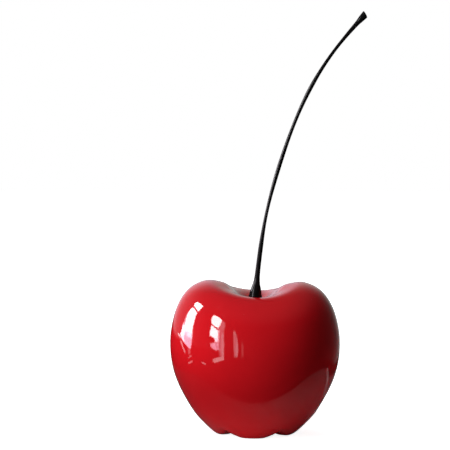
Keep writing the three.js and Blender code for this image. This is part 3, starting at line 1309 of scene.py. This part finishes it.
@dataclass
class Studio:
    """A plain pale floor, soft boxes, tall windows to the left and the camera."""

    axis_x: float
    stem: bpy.types.Object
    aim: Place = (0, 0, 0.08)
    # The floor in metres. Spans to the right are told from the body's axis.
    floor_size: float = 60.0
    floor_sink: float = 0.02 * MM
    floor_roughness: float = 0.9
    pale: Colour = (0.86, 0.86, 0.86)
    near_white: float = 0.9
    whitening_span: Station = (0.2, 1.0)
    shelf: tuple[float, float, float, float] = (-0.232, 0.262, -0.088, 0.60)
    shelf_corner: float = 0.14
    shelf_edge: float = 4 * MM
    # The shelf's tones as mirrored are painted light and shade: dark at the left, lit in the middle, dimmer
    # to the right.
    shelf_left: Colour = (0.06, 0.055, 0.06)
    shelf_middle: Colour = (0.44, 0.42, 0.42)
    middle_span: Station = (-0.10, 0.05)
    shelf_right: Colour = (0.24, 0.20, 0.20)
    right_span: Station = (0.05, 0.16)
    # A pale painted strip behind the body, which the lacquer mirrors as a pale line, and painted shade past
    # it to the right.
    rail: Colour = (1.0, 0.9, 0.9)
    rail_span: Station = (0.056, 0.074)
    rail_edge: float = 6 * MM
    rail_end: Station = (0.10, 0.12)
    past_rail: Colour = (0.02, 0.02, 0.02)
    past_rail_end: Station = (0.17, 0.20)
    # Painted light and shade in what the shelf bounces onto the body: dark at the left and light at the
    # right, where light falls.
    bounce_left: Colour = (0.15, 0.14, 0.14)
    bounce_right: Colour = (0.86, 0.82, 0.82)
    # The world. Its spans are parts of a direction, from -1 to 1. The wall is [azimuth, radiance].
    fill: float = 0.0
    least: float = 0.005
    ceiling: float = 0.11
    ceiling_span: Station = (0.5, 0.95)
    wall_tint: Colour = (1.0, 0.90, 1.02)
    wall_tint_right: Colour = (1.0, 1.0, 0.97)
    tint_span: Station = (-0.02, 0.08)
    wall: tuple[Station, ...] = (
        (-180, 0.78), (-165, 0.86), (-150, 0.64), (-130, 0.38), (-105, 0.30), (-88, 0.20), (-72, 0.06),
        (-40, 0.04), (0, 0.01), (110, 0.02), (130, 0.05), (148, 0.17), (165, 0.45), (180, 0.68),
    )  # fmt: skip
    wall_top: Station = (0.92, 0.42)
    foot_span: Station = (-0.25, -0.05)
    foot_heights: Station = (-0.03, -0.24)
    foot_edge: Station = (-0.015, 0.03)
    dip_span: Station = (0.75, 0.95)
    dip_sides: tuple[Station, Station] = ((-0.12, -0.04), (0.11, 0.04))
    dip_rise: Station = (3.1, 0.31)
    dip_least: float = 0.06
    # The camera, from the body's axis.
    lens: float = 106.77
    sensor: float = 36
    eye: Place = (-0.0021, -1.331, 0.2504)
    looks_at: Place = (-0.0299, 0, 0.2066)
    boxes: tuple[SoftBox, ...] = (
        SoftBox("key_low", -51, 8, 1.26),
        SoftBox("key_high", -51, 50, 1.33),
        SoftBox("front_low", -5, 3, 0.28),
        SoftBox("under_left", -97, -27, 0.9, side=0.3),
        SoftBox("behind_left", -147, 13, 1.35),
        SoftBox("behind_right", 135, 5, 0.30),
    )
    windows: tuple[TallWindow, ...] = (
        TallWindow(
            "window_near",
            (
                Pane(
                    ((357, 605), (361, 466), (403, 346), (440, 225), (465, 150), (462, 122), (212, 140),
                     (300, 640)),
                    4.3, 0.6, 26,
                ),
                Pane(((461, 141), (334, 100), (219, 70), (219, 240), (335, 240)), 12, 0.7, 14, 0.35),
                Pane(
                    ((219, 72), (45, 8), (-26, 10), (-54, 117), (-40, 245), (219, 235)),
                    7.5, 1.0, 7, 0.35,
                ),
                Pane(((84, 200), (124, 166), (84, 130), (44, 166)), 5.5, 1.0, 24),
                Pane(((400, 260), (400, 190), (200, 165), (-50, 175), (-50, 250)), 14, 0.7, 32, 0.4),
                Pane(
                    ((280, 700), (314, 601), (308, 383), (302, 250), (285, 222), (-50, 226), (-26, 409),
                     (-10, 690), (128, 724)),
                    16, 0.15, 16,
                ),
                Pane(((231, 270), (256, 243), (231, 216), (206, 243)), 9, 0.6, 16),
                Pane(
                    ((263, 725), (316, 824), (345, 888), (325, 990), (221, 1062), (14, 1084), (-8, 903),
                     (-5, 680), (150, 715)),
                    18, 0.1, 10,
                ),
                Pane(((302, 690), (262, 778), (158, 764), (164, 698)), 0.8, 0.6, 6),
                Pane(((164, 698), (158, 764), (-8, 736), (-8, 656)), 0.8, 0.6, 6),
                Pane(((69, 4), (-21, 4), (8, -76), (80, -75)), 1.2, 0.3, 20),
                Pane(((92, -123), (-5, -90), (-45, -91), (18, -117), (95, -133)), 2.0, 0.2, 5),
                Pane(
                    ((131, -183), (53, -171), (-43, -158), (-38, -178), (61, -199), (136, -203)),
                    1.9, 0.2, 5,
                ),
                Pane(((-305, -185), (-404, -198), (-460, -240), (-433, -249), (-361, -216)), 2.6, 0.2, 5),
                Pane(((636, 120), (582, 131), (396, 117), (419, 98)), 5.5, 0.3),
                Pane(((425, 59), (358, 72), (185, -50), (210, -78)), 2.6, 0.3),
            ),
            (-34, -30, 80),
        ),
        TallWindow(
            "window_middle",
            (
                Pane(
                    ((-930, 640), (-1207, 806), (-1258, -229), (-1072, -199), (-1000, 183)),
                    1.9, 0.6, 60, 0.2,
                ),
                Pane(
                    ((-1110, 564), (-1218, 634), (-1302, 262), (-1261, -211), (-1145, -193), (-1130, 248)),
                    3.0, 0.4, 45,
                ),
                Pane(
                    ((-973, 942), (-1004, 1192), (-1169, 1141), (-1239, 904), (-1211, 758), (-973, 642)),
                    2.2, 0.5, 60,
                ),
                Pane(((-860, 600), (-990, 623), (-1014, 302), (-923, 270), (-860, 300)), 7.0, 0.4, 40),
                Pane(((-622, 640), (-890, 640), (-938, 450), (-955, 352), (-618, 352)), 18.5, 0.12, 22),
                Pane(((-787, 360), (-960, 384), (-935, 290), (-850, 272)), 14, 0.5, 14),
                Pane(
                    ((-665, 203), (-839, 250), (-983, 297), (-1030, 88), (-885, 54), (-708, 106)),
                    8, 1.0, 24, 0.5,
                ),
                Pane(
                    ((-726, -150), (-890, -143), (-1082, -134), (-1274, -119), (-1255, -246), (-995, -249),
                     (-786, -252), (-739, -217)),
                    3.6, 0.1, 12, 0.25,
                ),
                Pane(
                    ((-518, 973), (-518, 1082), (-595, 1194), (-789, 1242), (-965, 1206), (-973, 942),
                     (-959, 791), (-910, 657), (-770, 636), (-620, 650), (-555, 784)),
                    18, 0.0, 22,
                ),
                Pane(((-596, 668), (-596, 610), (-775, 590), (-775, 650)), 1.3, 0.5, 7),
                Pane(((-775, 650), (-775, 590), (-940, 594), (-940, 664)), 1.3, 0.5, 7),
            ),
            (-5, -58, 80),
        ),
        TallWindow(
            "window_far",
            (
                Pane(
                    ((-1960, 958), (-2074, 1121), (-2230, 1056), (-2408, 943), (-2020, 754)),
                    2.2, 0.0, 70,
                ),
                Pane(
                    ((-2020, 799), (-2408, 943), (-2610, 724), (-2721, 227), (-2600, -240), (-2135, -230),
                     (-2100, 135)),
                    1.9, 0.4, 70,
                ),
                Pane(
                    ((-2320, 697), (-2516, 806), (-2702, 568), (-2722, 83), (-2600, -270), (-2256, -270),
                     (-2340, 142)),
                    3.0, 0.4, 70, 0.2,
                ),
            ),
        ),
        TallWindow(
            "window_last",
            (Pane(((-3500, 750), (-3950, 835), (-4150, -361), (-3450, -334)), 0.6, 0.0, 200),),
        ),
    )  # fmt: skip

    def build(self) -> None:
        """Sets up the floor, the world, the lights and the camera."""
        self._floor()
        self._world()
        for box in self.boxes:
            box.place(self._from_axis(self.aim))
        stem_only = bpy.data.collections.new("stem_only")
        stem_only.objects.link(self.stem)
        for window in self.windows:
            window.place(self.axis_x, stem_only)
        self._camera()

    def _from_axis(self, place: Place) -> Vector:
        """A place that is told from the body's axis, in the frame."""
        return Vector((self.axis_x + place[0], *place[1:]))

    def _rightward(self, sheet: NodeSheet, x: Socket, span: Station) -> Socket:
        """Rises from 0 to 1 over a span to the right, which is told from the body's axis."""
        return sheet.step(x, *(self.axis_x + end for end in span))

    def _floor(self) -> None:
        """Lays the floor: plain white to the eye, and a shelf of painted light and shade to all other light.
        """
        Workbench.clear()
        bpy.ops.mesh.primitive_plane_add(size=self.floor_size, location=(0, 0, -self.floor_sink))
        floor = bpy.context.object
        floor.name = "floor"
        material = bpy.data.materials.new("pale_floor")
        material.use_nodes = True
        sheet, nodes = NodeSheet(material.node_tree), material.node_tree.nodes
        shader = nodes["Principled BSDF"]
        shader.inputs["Roughness"].default_value = self.floor_roughness
        shader.inputs["Specular IOR Level"].default_value = 0.0
        shader.inputs["Emission Color"].default_value = (1, 1, 1, 1)
        path = sheet.add("ShaderNodeLightPath")
        to_eye = path.outputs["Is Camera Ray"]
        x, y, _ = sheet.axes(sheet.add("ShaderNodeNewGeometry").outputs["Position"])
        shelf = self._shelf_tone(sheet, x, y, path.outputs["Is Diffuse Ray"])
        sheet.feed(shader.inputs["Base Color"], sheet.blend(to_eye, shelf, self.pale))
        middle = sheet.math("SQRT", sheet.math("ADD", sheet.product(x, x), sheet.product(y, y)))
        whitening = sheet.spread(sheet.step(middle, *self.whitening_span), self.near_white, 1.0)
        sheet.feed(shader.inputs["Emission Strength"], sheet.product(to_eye, whitening))

        mix = sheet.add("ShaderNodeMixShader")
        sheet.feed(mix.inputs[0], sheet.math("MAXIMUM", to_eye, self._on_shelf(sheet, x, y)))
        sheet.feed(mix.inputs[1], sheet.add("ShaderNodeBsdfTransparent").outputs[0])
        sheet.feed(mix.inputs[2], shader.outputs[0])
        sheet.feed(nodes["Material Output"].inputs["Surface"], mix.outputs[0])
        floor.data.materials.append(material)

    def _shelf_tone(self, sheet: NodeSheet, x: Socket, y: Socket, bounced: Socket) -> Socket:
        """The shelf's painted light and shade: dark at the left and light at the right, with a pale painted
        strip behind.

        Args:
            sheet: the floor's sheet.
            x: how far to the right a point is.
            y: how far back it is.
            bounced: 1 for light that is spread by a surface, 0 for light that is mirrored.

        Returns:
            The colour.
        """
        rightward = self._rightward(sheet, x, self.middle_span)
        tone = sheet.blend(rightward, self.shelf_left, self.shelf_middle)
        tone = sheet.blend(self._rightward(sheet, x, self.right_span), tone, self.shelf_right)
        near, far = self.rail_span
        past = sheet.step(y, far, far + self.rail_edge)
        on_rail = sheet.math("SUBTRACT", sheet.step(y, near - self.rail_edge, near), past)
        rail_end = self._rightward(sheet, x, self.rail_end)
        # The pale painted strip behind, which the lacquer mirrors as a pale line.
        tone = sheet.blend(sheet.product(on_rail, rail_end), tone, self.rail)
        past_end = self._rightward(sheet, x, self.past_rail_end)
        # Painted shade past the strip, to the right.
        tone = sheet.blend(sheet.product(past, past_end), tone, self.past_rail)
        # Painted light in the bounce: darker at the left, lighter at the right where light falls.
        return sheet.blend(bounced, tone, sheet.blend(rightward, self.bounce_left, self.bounce_right))

    def _on_shelf(self, sheet: NodeSheet, x: Socket, y: Socket) -> Socket:
        """Where the shelf is, a rectangle with rounded corners.

        Args:
            sheet: the floor's sheet.
            x: how far to the right a point is.
            y: how far back it is.

        Returns:
            A mask, 1 on the shelf.
        """
        left, right, front, back = self.shelf
        past = 0.0
        for place, low, high in ((x, left + self.axis_x, right + self.axis_x), (y, front, back)):
            off_centre = sheet.math("ABSOLUTE", sheet.math("SUBTRACT", place, (low + high) / 2))
            beyond = sheet.math("SUBTRACT", off_centre, (high - low) / 2 - self.shelf_corner)
            past = sheet.math("ADD", sheet.math("POWER", sheet.math("MAXIMUM", beyond, 0.0), 2), past)
        rim = (self.shelf_corner + self.shelf_edge, self.shelf_corner - self.shelf_edge)
        return sheet.step(sheet.math("SQRT", past), *rim)

    def _world(self) -> None:
        """Fills the studio: white past the object, and a dim ceiling and a wall in what mirrors them."""
        world = bpy.data.worlds.new("studio")
        bpy.context.scene.world = world
        world.use_nodes = True
        sheet = NodeSheet(world.node_tree)
        path = sheet.add("ShaderNodeLightPath")
        way = sheet.axes(sheet.add("ShaderNodeTexCoord").outputs["Object"])
        overhead = sheet.product(sheet.step(way[2], *self.ceiling_span), self.ceiling)
        bright = sheet.math("MAXIMUM", sheet.math("ADD", self._wall(sheet, *way), overhead), self.least)
        strength = sheet.spread(path.outputs["Is Diffuse Ray"], bright, self.fill)
        tint = sheet.blend(sheet.step(way[0], *self.tint_span), self.wall_tint, self.wall_tint_right)
        background = world.node_tree.nodes["Background"].inputs
        to_eye = path.outputs["Is Camera Ray"]
        sheet.feed(background["Strength"], sheet.spread(to_eye, strength, 1.0))
        sheet.feed(background["Color"], sheet.blend(to_eye, tint, (1, 1, 1)))
        bpy.context.scene.view_settings.view_transform = "Standard"

    def _wall(self, sheet: NodeSheet, x: Socket, y: Socket, z: Socket) -> Socket:
        """The wall behind and to the left, which is darker low down in its middle.

        Args:
            sheet: the world's sheet.
            x: how far a direction goes to the right.
            y: how far it goes back.
            z: how far it goes up.

        Returns:
            How bright the wall is.
        """
        azimuth = sheet.math("ARCTAN2", x, sheet.product(y, -1.0))
        around = sheet.add("ShaderNodeFloatCurve")
        self._draw_curve(around.mapping, [((turn + 180) / 360, bright) for turn, bright in self.wall])
        sheet.feed(around.inputs["Value"], sheet.math("MULTIPLY_ADD", azimuth, 1 / (2 * math.pi), 0.5))
        foot = sheet.spread(sheet.step(x, *self.foot_span), *self.foot_heights)
        above_foot = sheet.step(sheet.math("SUBTRACT", z, foot), *self.foot_edge)
        between = sheet.product(*(sheet.step(x, *side) for side in self.dip_sides))
        in_dip = sheet.product(sheet.step(y, *self.dip_span), between)
        rising = sheet.math("MULTIPLY_ADD", z, *self.dip_rise, clamp=True)
        dip = sheet.spread(in_dip, 1.0, sheet.spread(rising, self.dip_least, 1.0))
        return sheet.product(around.outputs["Value"], dip, sheet.step(z, *self.wall_top), above_foot)

    @staticmethod
    def _draw_curve(mapping: bpy.types.CurveMapping, points: list[Station]) -> None:
        """Draws a curve through points.

        Args:
            mapping: the curve node's mapping.
            points: the points, from left to right.
        """
        curve = mapping.curves[0]
        while len(curve.points) < len(points):
            curve.points.new(0.5, 0.5)
        for drawn, (across, height) in zip(curve.points, points):
            drawn.location = (across, height)
        mapping.update()

    def _camera(self) -> None:
        """Stands the camera in front, a little above the body and looking slightly down."""
        data = bpy.data.cameras.new("camera")
        data.lens, data.sensor_width = self.lens, self.sensor
        camera = bpy.data.objects.new("camera", data)
        bpy.context.scene.collection.objects.link(camera)
        camera.location = self._from_axis(self.eye)
        gaze = self._from_axis(self.looks_at) - camera.location
        camera.rotation_euler = gaze.to_track_quat("-Z", "Y").to_euler()
        bpy.context.scene.camera = camera


def main() -> None:
    """Loads the frame, builds the body, the stem and the studio."""
    logging.basicConfig(level=logging.INFO, format="%(name)s: %(message)s")
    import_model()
    low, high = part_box("body")
    axis_x = (low.x + high.x) / 2
    groups = GroupBuilder()

    body = LacqueredBody(axis_x)
    body.build()
    body.dress(RedLacquer(), groups)
    LOG.info("%s: %d faces", body.piece.name, len(body.piece.data.polygons))

    stem = BlackStem(axis_x)
    stem.build()
    stem.dress(BlackLacquer(), groups)
    LOG.info("%s: %d faces", stem.piece.name, len(stem.piece.data.polygons))

    Studio(axis_x, stem.piece).build()
    LOG.info("studio: %d lights", len(bpy.data.lights))


if __name__ == "__main__":
    main()
